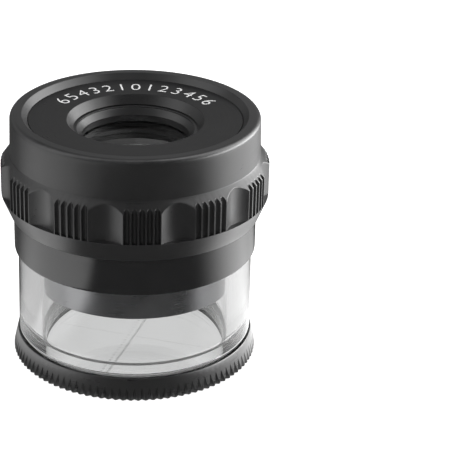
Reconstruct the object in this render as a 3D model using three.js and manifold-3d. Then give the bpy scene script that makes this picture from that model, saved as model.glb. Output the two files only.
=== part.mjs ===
// Measuring magnifier: a focusing loupe that stands on a clear skirt over a graduated glass disc.
// Millimetres, +Z up. The origin is the centre of the flat face that the base ring rests on.
import * as THREE from 'three';
import { mergeVertices } from 'three/addons/utils/BufferGeometryUtils.js';
import Module from 'manifold-3d';

const wasm = await Module();
wasm.setup();

// Clearances shared by all pieces
const runningFit = 0.3; // round a piece that turns, slides or is screwed in
const fixedFit = 0.1; // round a piece that stays where it is seated
const cutOverrun = 1; // how far a cutter passes the face that it opens

// Facets round each kind of piece
const gripSides = 90;
const bodySides = 60;
const boreSides = 44;
const glassSides = 36;
const pinSides = 12;
const lensArcSteps = 3;

// Clear skirt. Its bore sets the width of everything round it.
const skirtBoreRadius = 17.45;
const skirtWall = 4.1;
const skirtDraft = 0.15;
const skirtThreadStep = 0.9;
const skirtNeckShown = 0.6;
const skirtShownLength = 16.15;
const skirtFootStep = 0.5;
const skirtFootBoreLength = 2.6;
const skirtSpigotStep = 1;
const skirtSpigotLength = 5.5;

// Glass disc with the graduations on its lower face
const reticleSeatWidth = 1.15;
const reticleThickness = 2;

// Base ring: knurled nut that holds the glass disc against the clear skirt
const baseWall = 1.65;
const baseTaper = 0.7;
const baseBandHeight = 1.3;
const baseHeight = 4.05;
const baseMouthChamfer = 0.15;
const baseGrooveCount = 104;
const baseGrooveDepth = 0.5;
const baseGrooveWidthShare = 0.8;
const lipThickness = 0.4;
const lipWidth = 0.95;

// Barrel
const barrelOverhang = 0.7;
const barrelLength = 16.7;
const barrelNeckStep = 1.1;
const barrelNeckLength = 6.5;
const barrelEdgeChamfer = 0.3;

// Focus ring: grip below, cap wall above, all one turned piece
const barrelShown = 6.95;
const gripFootLand = 0.25;
const gripBevelDepth = 1.6;
const gripBevelHeight = 3.85;
const gripBandHeight = 5.7;
const gripShoulderDepth = 1.65;
const gripShoulderHeight = 1.9;
const capDraft = 0.15;
const capHeight = 7.2;
const rimCornerRadius = 1.2;
const rimCornerSteps = 3;
const rimWidth = 2.15;
const rimSlopeWidth = 1;
const rimSlopeDepth = 1.1;
const focusTravel = 2.5;

// Grip pads with upright grooves, and hollow scallops between them
const padCount = 12;
const padAngle = THREE.MathUtils.degToRad(15.6);
const firstPadTurn = THREE.MathUtils.degToRad(2.8);
const groovesPerPad = 5;
const grooveWidthShare = 0.78;
const grooveDepth = 0.7;
const grooveArcSteps = 4;
const scallopDepth = 1.1;
const scallopArcSteps = 8;

// Lens cell
const cellClearance = 0.55;
const cellWall = 1.5;
const cellBelowBarrel = 6.6;
const cellFlangeThickness = 0.9;
const cellStopSeatWidth = 0.8;
const cellStopThickness = 3.2;
const cellEndRecess = 0.3;

// Lenses: two cemented pairs, each a crown and a flint
const cementGap = 0.3;
const eyeLensRadius = 11.8;
const eyeCrownCurve = 34;
const eyeCementCurve = 22;
const eyeFlintCurve = 120;
const eyeCrownEdge = 0.9;
const eyeFlintEdge = 4.9;
const fieldCrownCurve = 45;
const fieldCementCurve = 30;
const fieldFlintCurve = 195;
const fieldCrownEdge = 0.9;
const fieldFlintEdge = 5.5;

// Rings that hold the lenses
const frontRingSeatWidth = 1.8;
const frontRingStepWidth = 0.9;
const frontRingStepDepth = 0.25;
const frontRingBevelDepth = 1.2;
const rearRingHeight = 1.9;
const rearRingWidth = 1;
const spannerSlotWidth = 1.6;
const spannerSlotDepth = 0.8;
const spannerSlotReach = 0.7;
const spacerHeight = 5.9;
const spacerSeatWidth = 1.3;

// Face plate round the eye opening
const facePlateThickness = 2.6;
const facePlateDish = 0.2;
const facePlateSeatWidth = 0.6;
const eyeThroatInset = 0.5;
const eyeMouthFlare = 0.9;

// Guide pins that keep the lens cell from turning, and the drag ring on the barrel's neck
const pinRadius = 0.8;
const pinHeightOnNeck = 2.3;
const keySlotDepth = 0.8;
const dragRingSection = 0.9;
const dragGrooveDepth = 0.8;
const dragGrooveDrop = 1.6;
const dragRingSteps = 6;

// Radii, outwards from the skirt's bore
const skirtFootBoreRadius = skirtBoreRadius - skirtFootStep;
const skirtFootRadius = skirtBoreRadius + skirtWall;
const skirtTopRadius = skirtFootRadius - skirtDraft;
const skirtThreadRadius = skirtFootRadius - skirtThreadStep;
const skirtSpigotRadius = skirtTopRadius - skirtSpigotStep;
const reticleRadius = skirtFootBoreRadius + reticleSeatWidth;
const fieldRadius = reticleRadius - lipWidth;
const baseRadius = skirtThreadRadius + runningFit + baseWall;
const baseTopRadius = baseRadius - baseTaper;
const barrelRadius = skirtTopRadius + barrelOverhang;
const barrelNeckRadius = barrelRadius - barrelNeckStep;
const gripFootRadius = barrelRadius + runningFit + gripFootLand;
const gripRadius = gripFootRadius + gripBevelDepth;
const capFootRadius = gripRadius - gripShoulderDepth;
const capRadius = capFootRadius - capDraft;
const rimInnerRadius = capRadius - rimWidth;
const facePlateRadius = rimInnerRadius - rimSlopeWidth - fixedFit;
const cellFlangeRadius = facePlateRadius + fixedFit - facePlateSeatWidth - runningFit;

// Radii, inwards from the skirt's bore
const cellRadius = skirtBoreRadius - cellClearance;
const fieldLensRadius = cellRadius - cellWall - fixedFit;
const rearRingInnerRadius = fieldLensRadius - rearRingWidth;
const spacerFootInnerRadius = fieldLensRadius - spacerSeatWidth;
const cellStopRadius = eyeLensRadius - cellStopSeatWidth;
const frontRingThroatRadius = eyeLensRadius - frontRingSeatWidth;
const frontRingStepRadius = frontRingThroatRadius + frontRingStepWidth;
const eyeThroatRadius = eyeLensRadius - eyeThroatInset;
const eyeMouthRadius = eyeThroatRadius + eyeMouthFlare;

// Heights above the surface that the loupe stands on
const reticleTop = lipThickness + reticleThickness;
const skirtShoulderHeight = baseHeight + skirtNeckShown;
const barrelFoot = skirtShoulderHeight + skirtShownLength;
const barrelTop = barrelFoot + barrelLength;
const barrelShoulder = barrelTop - barrelNeckLength;
const gripFoot = barrelFoot + barrelShown;
const gripLedge = gripFoot + gripBevelHeight;
const gripTop = gripLedge + gripBandHeight;
const capFoot = gripTop + gripShoulderHeight;
const rimTop = capFoot + capHeight;
const faceHeight = rimTop - rimSlopeDepth;
const facePlateFoot = faceHeight - facePlateThickness;
const flangeTop = facePlateFoot - runningFit;
const webTop = flangeTop - cellFlangeThickness;
const webFoot = barrelTop + focusTravel + runningFit;
const cellFoot = barrelFoot - cellBelowBarrel;
const rearRingFoot = cellFoot + cellEndRecess;
const rearRingTop = rearRingFoot + rearRingHeight;
const fieldFlintFoot = rearRingTop + seatRise(fieldFlintCurve, fieldLensRadius, rearRingInnerRadius);
const fieldCrownFoot = fieldFlintFoot + fieldFlintEdge + cementGap;
const fieldCrownTop = fieldCrownFoot + fieldCrownEdge;
const spacerFoot = fieldCrownTop + seatRise(fieldCrownCurve, fieldLensRadius, spacerFootInnerRadius);
const spacerTop = spacerFoot + spacerHeight;
const cellStopTop = spacerTop + cellStopThickness;
const eyeCrownFoot = cellStopTop + seatRise(eyeCrownCurve, eyeLensRadius, cellStopRadius);
const eyeFlintFoot = eyeCrownFoot + eyeCrownEdge + cementGap;
const eyeFlintTop = eyeFlintFoot + eyeFlintEdge;
const frontRingFoot = eyeFlintTop + seatRise(eyeFlintCurve, eyeLensRadius, frontRingThroatRadius);
const pinHeight = barrelShoulder + pinHeightOnNeck;

// Materials
const blackMetal = new THREE.MeshStandardMaterial({ color: 0x1c1c1e, roughness: 0.45, metalness: 0.3 });
const innerBlack = new THREE.MeshStandardMaterial({ color: 0x101011, roughness: 0.6, metalness: 0.2 });
const clearPlastic = new THREE.MeshStandardMaterial({ color: 0xe4e7e8, roughness: 0.08, metalness: 0 });
const crownGlass = new THREE.MeshStandardMaterial({ color: 0xc9dadb, roughness: 0.04, metalness: 0 });
const flintGlass = new THREE.MeshStandardMaterial({ color: 0xb6cbc6, roughness: 0.04, metalness: 0 });
const rubber = new THREE.MeshStandardMaterial({ color: 0x18181a, roughness: 0.9, metalness: 0 });
const steel = new THREE.MeshStandardMaterial({ color: 0x9a9c9f, roughness: 0.35, metalness: 0.9 });

const loupe = new THREE.Group();

// Puts one piece into the loupe under its name.
function addPiece(name, geometry, material) {
  const mesh = new THREE.Mesh(geometry, material);
  mesh.name = name;
  loupe.add(mesh);
  return mesh;
}

// Turns an outline of [radius, height] points round the Z axis. Outlines run anticlockwise.
function turned(outline, sides) {
  const points = outline.map(([radius, height]) => new THREE.Vector2(radius, height));
  const geometry = new THREE.LatheGeometry(points, sides);
  geometry.rotateX(Math.PI / 2);
  return geometry;
}

// Turns a closed outline, whose last point joins its first.
function turnedRing(outline, sides) {
  return turned([...outline, outline[0]], sides);
}

// Raises a flat outline from one height to another.
function raised(shape, fromHeight, toHeight) {
  const geometry = new THREE.ExtrudeGeometry(shape, { depth: toHeight - fromHeight, bevelEnabled: false });
  geometry.translate(0, 0, fromHeight);
  return geometry;
}

// Makes a solid that can be joined or cut.
function solid(geometry) {
  const bare = geometry.index ? geometry.toNonIndexed() : geometry.clone();
  bare.deleteAttribute('normal');
  bare.deleteAttribute('uv');
  const merged = mergeVertices(bare);
  const mesh = new wasm.Mesh({
    numProp: 3,
    vertProperties: new Float32Array(merged.attributes.position.array),
    triVerts: new Uint32Array(merged.index.array),
  });
  return new wasm.Manifold(mesh);
}

// Gives a cut solid back as a geometry.
function asGeometry(manifold) {
  const mesh = manifold.getMesh();
  const geometry = new THREE.BufferGeometry();
  geometry.setAttribute('position', new THREE.BufferAttribute(new Float32Array(mesh.vertProperties), 3));
  geometry.setIndex(new THREE.BufferAttribute(new Uint32Array(mesh.triVerts), 1));
  return geometry;
}

// Cuts each of the cutters out of a body.
function cutFrom(body, cutters) {
  return asGeometry(cutters.reduce((left, cutter) => left.subtract(solid(cutter)), solid(body)));
}

// How far a spherical face of the given curve stands out over a lens of the given radius.
function sagOf(curve, lensRadius) {
  return curve - Math.sqrt(curve * curve - lensRadius * lensRadius);
}

// Height between a lens's edge and the circle where its domed face meets a flat seat.
function seatRise(curve, lensRadius, seatRadius) {
  return sagOf(curve, lensRadius) - sagOf(curve, seatRadius);
}

// Points of a spherical face from the edge to the axis. A positive bulge domes upwards.
function lensFace(curve, lensRadius, edgeHeight, bulge) {
  const points = [];
  for (let step = 0; step <= lensArcSteps; step += 1) {
    const radius = lensRadius * (1 - step / lensArcSteps);
    const rise = sagOf(curve, lensRadius) - sagOf(curve, radius);
    points.push([radius, edgeHeight + bulge * rise]);
  }
  return points;
}

// A lens from its lower and upper faces, each listed from the edge to the axis.
function lens(lowerFace, upperFace) {
  return turned([...lowerFace.toReversed(), ...upperFace], glassSides);
}

// A pair of boxes on the X axis, reaching outwards from an inner radius.
function pairOfSlots(innerRadius, outerRadius, width, fromHeight, toHeight) {
  return [1, -1].map((side) => {
    const slot = new THREE.BoxGeometry(outerRadius - innerRadius, width, toHeight - fromHeight);
    slot.translate((side * (innerRadius + outerRadius)) / 2, 0, (fromHeight + toHeight) / 2);
    return slot;
  });
}

// A round bar on the X axis, from one distance to another on the given side.
function barAlongX(radius, fromDistance, toDistance, side, height) {
  const bar = new THREE.CylinderGeometry(radius, radius, toDistance - fromDistance, pinSides);
  bar.rotateZ(Math.PI / 2);
  bar.translate((side * (fromDistance + toDistance)) / 2, 0, height);
  return bar;
}

// Outline of the base ring seen from above: a V groove at each step round the edge.
function baseToothOutline() {
  const shape = new THREE.Shape();
  const outer = baseRadius + cutOverrun;
  const pitch = (2 * Math.PI) / baseGrooveCount;
  const halfWidth = (baseGrooveWidthShare * pitch) / 2;
  for (let groove = 0; groove < baseGrooveCount; groove += 1) {
    const angle = groove * pitch;
    const points = [
      [angle, baseRadius - baseGrooveDepth],
      [angle + halfWidth, baseRadius],
      [angle + halfWidth, outer],
      [angle + pitch - halfWidth, outer],
      [angle + pitch - halfWidth, baseRadius],
    ];
    for (const [at, radius] of points) {
      const x = radius * Math.cos(at);
      const y = radius * Math.sin(at);
      if (groove === 0 && at === angle) {
        shape.moveTo(x, y);
      } else {
        shape.lineTo(x, y);
      }
    }
  }
  shape.closePath();
  return shape;
}

function baseRing() {
  const outside = turned(
    [
      [0, 0],
      [baseRadius, 0],
      [baseRadius, baseBandHeight],
      [baseTopRadius, baseHeight],
      [0, baseHeight],
    ],
    baseGrooveCount,
  );
  const teeth = raised(baseToothOutline(), -cutOverrun, baseHeight + cutOverrun);
  const threadBore = skirtThreadRadius + runningFit;
  const bore = turned(
    [
      [0, -cutOverrun],
      [fieldRadius, -cutOverrun],
      [fieldRadius, lipThickness],
      [threadBore, lipThickness],
      [threadBore, baseHeight - baseMouthChamfer],
      [threadBore + baseMouthChamfer, baseHeight],
      [threadBore + baseMouthChamfer, baseHeight + cutOverrun],
      [0, baseHeight + cutOverrun],
    ],
    boreSides,
  );
  return asGeometry(solid(outside).intersect(solid(teeth)).subtract(solid(bore)));
}

function reticleGlass() {
  return turned(
    [
      [0, lipThickness],
      [reticleRadius, lipThickness],
      [reticleRadius, reticleTop],
      [0, reticleTop],
    ],
    bodySides,
  );
}

function clearSkirt() {
  const foot = lipThickness + runningFit;
  const pocketRadius = reticleRadius + runningFit;
  const spigotTop = barrelFoot + skirtSpigotLength;
  const footBoreTop = reticleTop + skirtFootBoreLength;
  return turnedRing(
    [
      [pocketRadius, foot],
      [skirtThreadRadius, foot],
      [skirtThreadRadius, skirtShoulderHeight],
      [skirtFootRadius, skirtShoulderHeight],
      [skirtTopRadius, barrelFoot],
      [skirtSpigotRadius, barrelFoot],
      [skirtSpigotRadius, spigotTop],
      [skirtBoreRadius, spigotTop],
      [skirtBoreRadius, footBoreTop + skirtFootStep],
      [skirtFootBoreRadius, footBoreTop],
      [skirtFootBoreRadius, reticleTop],
      [pocketRadius, reticleTop],
    ],
    bodySides,
  );
}

function barrel() {
  const socketRadius = skirtSpigotRadius + runningFit;
  const socketTop = barrelFoot + skirtSpigotLength + runningFit;
  const guideRadius = cellRadius + runningFit;
  const dragMiddle = barrelTop - dragGrooveDrop;
  const dragHalfWidth = dragRingSection / 2 + fixedFit;
  const grooveFloor = barrelNeckRadius - dragGrooveDepth;
  const body = turnedRing(
    [
      [socketRadius, barrelFoot],
      [barrelRadius, barrelFoot],
      [barrelRadius, barrelShoulder - barrelEdgeChamfer],
      [barrelRadius - barrelEdgeChamfer, barrelShoulder],
      [barrelNeckRadius, barrelShoulder],
      [barrelNeckRadius, dragMiddle - dragHalfWidth],
      [grooveFloor, dragMiddle - dragHalfWidth],
      [grooveFloor, dragMiddle + dragHalfWidth],
      [barrelNeckRadius, dragMiddle + dragHalfWidth],
      [barrelNeckRadius, barrelTop],
      [guideRadius, barrelTop],
      [guideRadius, socketTop],
      [socketRadius, socketTop],
    ],
    bodySides,
  );
  const holes = [1, -1].map((side) => {
    const from = guideRadius - cutOverrun;
    const to = barrelNeckRadius + cutOverrun;
    return barAlongX(pinRadius + fixedFit, from, to, side, pinHeight);
  });
  return cutFrom(body, holes);
}

function dragRing() {
  const middleRadius = barrelNeckRadius - dragGrooveDepth + fixedFit + dragRingSection / 2;
  const middleHeight = barrelTop - dragGrooveDrop;
  const outline = [];
  for (let step = 0; step < dragRingSteps; step += 1) {
    const angle = (2 * Math.PI * step) / dragRingSteps;
    const across = (dragRingSection / 2) * Math.cos(angle);
    const up = (dragRingSection / 2) * Math.sin(angle);
    outline.push([middleRadius + across, middleHeight + up]);
  }
  return turnedRing(outline, boreSides);
}

function guidePin(side) {
  const innerEnd = cellRadius - keySlotDepth + runningFit;
  const outerEnd = barrelNeckRadius - fixedFit;
  return barAlongX(pinRadius, innerEnd, outerEnd, side, pinHeight);
}

// Outline of the grip seen from above: grooved pads, with a scallop between each two.
function gripOutline() {
  const path = new THREE.Path();
  const gap = (2 * Math.PI) / padCount - padAngle;
  const groovePitch = padAngle / groovesPerPad;
  const grooveAngle = grooveWidthShare * groovePitch;
  const place = (angle, radius) => new THREE.Vector2(radius * Math.cos(angle), radius * Math.sin(angle));
  const points = [];
  for (let pad = 0; pad < padCount; pad += 1) {
    const padMiddle = firstPadTurn - Math.PI / 2 + (2 * Math.PI * pad) / padCount;
    const padStart = padMiddle - padAngle / 2;
    for (let groove = 0; groove < groovesPerPad; groove += 1) {
      const grooveMiddle = padStart + (groove + 1 / 2) * groovePitch;
      for (let step = 0; step <= grooveArcSteps; step += 1) {
        const across = -Math.cos((Math.PI * step) / grooveArcSteps);
        const depth = grooveDepth * Math.sin((Math.PI * step) / grooveArcSteps);
        points.push(place(grooveMiddle + (across * grooveAngle) / 2, gripRadius - depth));
      }
    }
    for (let step = 0; step <= scallopArcSteps; step += 1) {
      const along = step / scallopArcSteps;
      const depth = scallopDepth * (1 - (2 * along - 1) ** 2);
      points.push(place(padStart + padAngle + along * gap, gripRadius - depth));
    }
  }
  path.setFromPoints(points);
  return path;
}

function gripCutter() {
  const shape = new THREE.Shape();
  shape.absarc(0, 0, gripRadius + cutOverrun, 0, 2 * Math.PI, false);
  shape.holes.push(gripOutline());
  return raised(shape, gripLedge, capFoot + cutOverrun);
}

function rimCorner() {
  const points = [];
  for (let step = 0; step <= rimCornerSteps; step += 1) {
    const angle = (Math.PI / 2) * (step / rimCornerSteps);
    const radius = capRadius - rimCornerRadius * (1 - Math.cos(angle));
    points.push([radius, rimTop - rimCornerRadius * (1 - Math.sin(angle))]);
  }
  return points;
}

function focusRing() {
  const outside = turned(
    [
      [0, gripFoot],
      [gripFootRadius, gripFoot],
      [gripRadius, gripLedge],
      [gripRadius, gripTop],
      [capFootRadius, capFoot],
      ...rimCorner(),
      [0, rimTop],
    ],
    gripSides,
  );
  const skirtBore = barrelRadius + runningFit;
  const threadBore = barrelNeckRadius + runningFit;
  const threadFoot = barrelShoulder + focusTravel + runningFit;
  const plateBore = facePlateRadius + fixedFit;
  const flangeBore = plateBore - facePlateSeatWidth;
  const bore = turned(
    [
      [0, gripFoot - cutOverrun],
      [skirtBore, gripFoot - cutOverrun],
      [skirtBore, threadFoot],
      [threadBore, threadFoot],
      [threadBore, webFoot],
      [cellRadius + runningFit, webFoot],
      [cellRadius + runningFit, webTop],
      [flangeBore, webTop],
      [flangeBore, facePlateFoot],
      [plateBore, facePlateFoot],
      [plateBore, faceHeight],
      [rimInnerRadius, rimTop],
      [rimInnerRadius, rimTop + cutOverrun],
      [0, rimTop + cutOverrun],
    ],
    boreSides,
  );
  return cutFrom(outside, [gripCutter(), bore]);
}

function facePlate() {
  return turnedRing(
    [
      [eyeThroatRadius, facePlateFoot],
      [facePlateRadius, facePlateFoot],
      [facePlateRadius, faceHeight],
      [eyeMouthRadius, faceHeight - facePlateDish],
    ],
    bodySides,
  );
}

// Lens cell, with a key slot on each side for the guide pins
function lensCell() {
  const fieldBore = fieldLensRadius + fixedFit;
  const eyeBore = eyeLensRadius + fixedFit;
  const body = turnedRing(
    [
      [fieldBore, cellFoot],
      [cellRadius, cellFoot],
      [cellRadius, webTop],
      [cellFlangeRadius, webTop],
      [cellFlangeRadius, flangeTop],
      [eyeBore, flangeTop],
      [eyeBore, cellStopTop],
      [cellStopRadius, cellStopTop],
      [cellStopRadius, spacerTop],
      [fieldBore, spacerTop],
    ],
    boreSides,
  );
  const slotReach = focusTravel + pinRadius + runningFit;
  const slotFloor = cellRadius - keySlotDepth;
  const slotWidth = 2 * (pinRadius + fixedFit);
  const slotEnds = [pinHeight - slotReach, pinHeight + slotReach];
  return cutFrom(body, pairOfSlots(slotFloor, cellRadius + cutOverrun, slotWidth, ...slotEnds));
}

function frontRetainingRing() {
  const top = flangeTop;
  const outerRadius = eyeLensRadius;
  const body = turnedRing(
    [
      [frontRingThroatRadius, frontRingFoot],
      [outerRadius, frontRingFoot],
      [outerRadius, top],
      [frontRingStepRadius, top],
      [frontRingStepRadius, top - frontRingStepDepth],
      [frontRingThroatRadius, top - frontRingBevelDepth],
    ],
    boreSides,
  );
  const slotStart = outerRadius - spannerSlotReach;
  const slotEnds = [top - spannerSlotDepth, top + cutOverrun];
  return cutFrom(body, pairOfSlots(slotStart, outerRadius + cutOverrun, spannerSlotWidth, ...slotEnds));
}

function rearRetainingRing() {
  const body = turnedRing(
    [
      [rearRingInnerRadius, rearRingFoot],
      [fieldLensRadius, rearRingFoot],
      [fieldLensRadius, rearRingTop],
      [rearRingInnerRadius, rearRingTop],
    ],
    boreSides,
  );
  const slotTop = rearRingFoot + spannerSlotDepth;
  const from = rearRingInnerRadius - cutOverrun;
  const to = rearRingInnerRadius + spannerSlotReach;
  return cutFrom(body, pairOfSlots(from, to, spannerSlotWidth, rearRingFoot - cutOverrun, slotTop));
}

function lensSpacer() {
  return turnedRing(
    [
      [spacerFootInnerRadius, spacerFoot],
      [fieldLensRadius, spacerFoot],
      [fieldLensRadius, spacerTop],
      [cellStopRadius, spacerTop],
    ],
    boreSides,
  );
}

function fieldFlint() {
  const cementEdge = fieldFlintFoot + fieldFlintEdge;
  return lens(
    lensFace(fieldFlintCurve, fieldLensRadius, fieldFlintFoot, -1),
    lensFace(fieldCementCurve, fieldLensRadius, cementEdge, -1),
  );
}

function fieldCrown() {
  return lens(
    lensFace(fieldCementCurve, fieldLensRadius, fieldCrownFoot, -1),
    lensFace(fieldCrownCurve, fieldLensRadius, fieldCrownTop, 1),
  );
}

function eyeCrown() {
  return lens(
    lensFace(eyeCrownCurve, eyeLensRadius, eyeCrownFoot, -1),
    lensFace(eyeCementCurve, eyeLensRadius, eyeCrownFoot + eyeCrownEdge, 1),
  );
}

function eyeFlint() {
  return lens(
    lensFace(eyeCementCurve, eyeLensRadius, eyeFlintFoot, 1),
    lensFace(eyeFlintCurve, eyeLensRadius, eyeFlintTop, 1),
  );
}

addPiece('base_ring', baseRing(), blackMetal);
addPiece('reticle_glass', reticleGlass(), crownGlass);
addPiece('clear_skirt', clearSkirt(), clearPlastic);
addPiece('barrel', barrel(), blackMetal);
addPiece('drag_ring', dragRing(), rubber);
addPiece('guide_pin_right', guidePin(1), steel);
addPiece('guide_pin_left', guidePin(-1), steel);
addPiece('lens_cell', lensCell(), innerBlack);
addPiece('rear_retaining_ring', rearRetainingRing(), innerBlack);
addPiece('field_flint_lens', fieldFlint(), flintGlass);
addPiece('field_crown_lens', fieldCrown(), crownGlass);
addPiece('lens_spacer', lensSpacer(), innerBlack);
addPiece('eye_crown_lens', eyeCrown(), crownGlass);
addPiece('eye_flint_lens', eyeFlint(), flintGlass);
addPiece('front_retaining_ring', frontRetainingRing(), innerBlack);
addPiece('focus_ring', focusRing(), blackMetal);
addPiece('face_plate', facePlate(), blackMetal);

export default loupe;
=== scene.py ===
import math

import bmesh
import bpy
import numpy as np
from mathutils import Matrix


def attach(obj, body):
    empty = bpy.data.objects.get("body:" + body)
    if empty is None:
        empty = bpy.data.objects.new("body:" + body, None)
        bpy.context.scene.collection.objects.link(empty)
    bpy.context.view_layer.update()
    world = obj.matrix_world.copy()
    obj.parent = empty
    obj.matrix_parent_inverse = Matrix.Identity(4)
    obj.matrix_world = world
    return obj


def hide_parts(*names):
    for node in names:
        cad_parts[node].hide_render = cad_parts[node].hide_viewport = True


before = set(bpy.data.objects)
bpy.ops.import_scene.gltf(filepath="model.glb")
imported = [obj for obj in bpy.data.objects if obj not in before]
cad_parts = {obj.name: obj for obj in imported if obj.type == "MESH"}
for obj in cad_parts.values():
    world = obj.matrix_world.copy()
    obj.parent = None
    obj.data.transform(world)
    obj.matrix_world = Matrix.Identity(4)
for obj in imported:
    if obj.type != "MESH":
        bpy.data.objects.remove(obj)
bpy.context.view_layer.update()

# Measuring magnifier, put together from the foot up in the order of the sections. The pieces' sizes
# are millimetres and their meshes are made in metres. Shaders, lamps and camera are in metres.


# Base ring
# A nut turned from bar in black anodised aluminium, with V grooves all round its edge.
# It screws on the clear skirt's foot, and its thin lip holds the glass disc against the skirt.

def rounded(corners, steps=4, closed=True):
    """Outline of (radius, height, wear) points from corners given as (radius, height, rounding)."""
    outline = []
    count = len(corners)
    for index, (radius, height, rounding) in enumerate(corners):
        end = not closed and index in (0, count - 1)
        if rounding == 0 or end:
            outline.append((radius, height, 0))
            continue
        here = np.array((radius, height), float)
        back = np.array(corners[index - 1][:2], float) - here
        ahead = np.array(corners[(index + 1) % count][:2], float) - here
        back_length = np.linalg.norm(back)
        ahead_length = np.linalg.norm(ahead)
        back /= back_length
        ahead /= ahead_length
        half = math.acos(np.clip(back @ ahead, -1, 1)) / 2
        reach = min(rounding / math.tan(half), 0.4 * back_length, 0.4 * ahead_length)
        bend = reach * math.tan(half)
        middle = here + (back + ahead) / np.linalg.norm(back + ahead) * bend / math.sin(half)
        start = here + back * reach
        finish = here + ahead * reach
        first = math.atan2(*(start - middle)[::-1])
        sweep = math.atan2(*(finish - middle)[::-1]) - first
        sweep = (sweep + math.pi) % (2 * math.pi) - math.pi
        outward = 1 if back[0] * ahead[1] - back[1] * ahead[0] < 0 else 0
        outline.append((*(here + back * min(1.7 * reach, 0.49 * back_length)), 0))
        for step in range(steps + 1):
            angle = first + sweep * step / steps
            worn = outward * math.sin(math.pi * (step + 0.5) / (steps + 1))
            outline.append((*(middle + bend * np.array((math.cos(angle), math.sin(angle)))), worn))
        outline.append((*(here + ahead * min(1.7 * reach, 0.49 * ahead_length)), 0))
    return np.array(outline, float)


def ladder(radius, start, stop, rung):
    """Closely spaced points up or down a wall, for a thread to be cut into."""
    count = max(2, round(abs(stop - start) / rung))
    return [(radius, start + (stop - start) * step / count, 0) for step in range(count + 1)]


def skin(name, rows, angles, closed_outline=True, full_turn=True):
    """A mesh through rows of (radius, height, wear) points. Outlines run anticlockwise."""
    rows = np.array(rows, float)
    angles = np.radians(angles)
    if rows.ndim == 2:
        rows = np.repeat(rows[:, None, :], len(angles), axis=1)
    row_count, column_count = rows.shape[:2]
    places = np.stack([rows[..., 0] * np.cos(angles), rows[..., 0] * np.sin(angles), rows[..., 1]], axis=-1)
    faces = []
    for row in range(row_count if closed_outline else row_count - 1):
        above = (row + 1) % row_count
        for column in range(column_count if full_turn else column_count - 1):
            beside = (column + 1) % column_count
            faces.append((row * column_count + column, row * column_count + beside,
                          above * column_count + beside, above * column_count + column))
    mesh = bpy.data.meshes.new(name)
    mesh.from_pydata(places.reshape(-1, 3) / 1000, [], faces)
    mesh.attributes.new("wear", "FLOAT", "POINT").data.foreach_set("value", rows[..., 2].ravel())
    shape = bmesh.new()
    shape.from_mesh(mesh)
    bmesh.ops.remove_doubles(shape, verts=shape.verts, dist=2e-8)
    bmesh.ops.dissolve_degenerate(shape, edges=shape.edges, dist=1e-8)
    shape.to_mesh(mesh)
    shape.free()
    piece = bpy.data.objects.new(name, mesh)
    bpy.context.scene.collection.objects.link(piece)
    return piece


def smooth(piece, crease=34):
    """Shades a piece smooth, apart from edges sharper than the crease angle."""
    piece.data.shade_smooth()
    piece.data.set_sharp_from_angle(angle=math.radians(crease))


def settle(piece):
    """Turns a piece's modifiers into its mesh."""
    shown = piece.evaluated_get(bpy.context.evaluated_depsgraph_get())
    mesh = bpy.data.meshes.new_from_object(shown)
    piece.modifiers.clear()
    piece.data = mesh


def node(tree, kind, inputs=(), **settings):
    """Adds a node, with its settings, and values or links for its inputs."""
    made = tree.nodes.new(kind)
    for setting, value in settings.items():
        setattr(made, setting, value)
    for socket, value in dict(inputs).items():
        if isinstance(value, bpy.types.NodeSocket):
            tree.links.new(value, made.inputs[socket])
        else:
            made.inputs[socket].default_value = value
    return made


def maths(tree, operation, *values):
    """The result of a math node on values or links."""
    return node(tree, "ShaderNodeMath", dict(enumerate(values)), operation=operation).outputs[0]


def spread(tree, value, low, high, least=0.0, most=1.0):
    """A value between least and most, spread over the range from low to high."""
    limits = {"Value": value, "From Min": least, "From Max": most, "To Min": low, "To Max": high}
    return node(tree, "ShaderNodeMapRange", limits).outputs[0]


def noise(tree, place, scale, detail, **more):
    """Strength of a noise pattern over the places given."""
    values = {"Vector": place, "Scale": scale, "Detail": detail, **more}
    return node(tree, "ShaderNodeTexNoise", values).outputs[0]


def relief(tree, strength, distance, height):
    """The surface direction over a fine relief."""
    values = {"Strength": strength, "Distance": distance, "Height": height}
    return node(tree, "ShaderNodeBump", values).outputs[0]


def coat(tree, shader):
    """Makes a shader the surface of its material."""
    node(tree, "ShaderNodeOutputMaterial", {"Surface": shader.outputs[0]})


def new_finish(name):
    """An empty material, its node tree and the piece's own coordinates."""
    made = bpy.data.materials.new(name)
    made.use_nodes = True
    made.node_tree.nodes.clear()
    return made, made.node_tree, node(made.node_tree, "ShaderNodeTexCoord").outputs["Object"]


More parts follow.
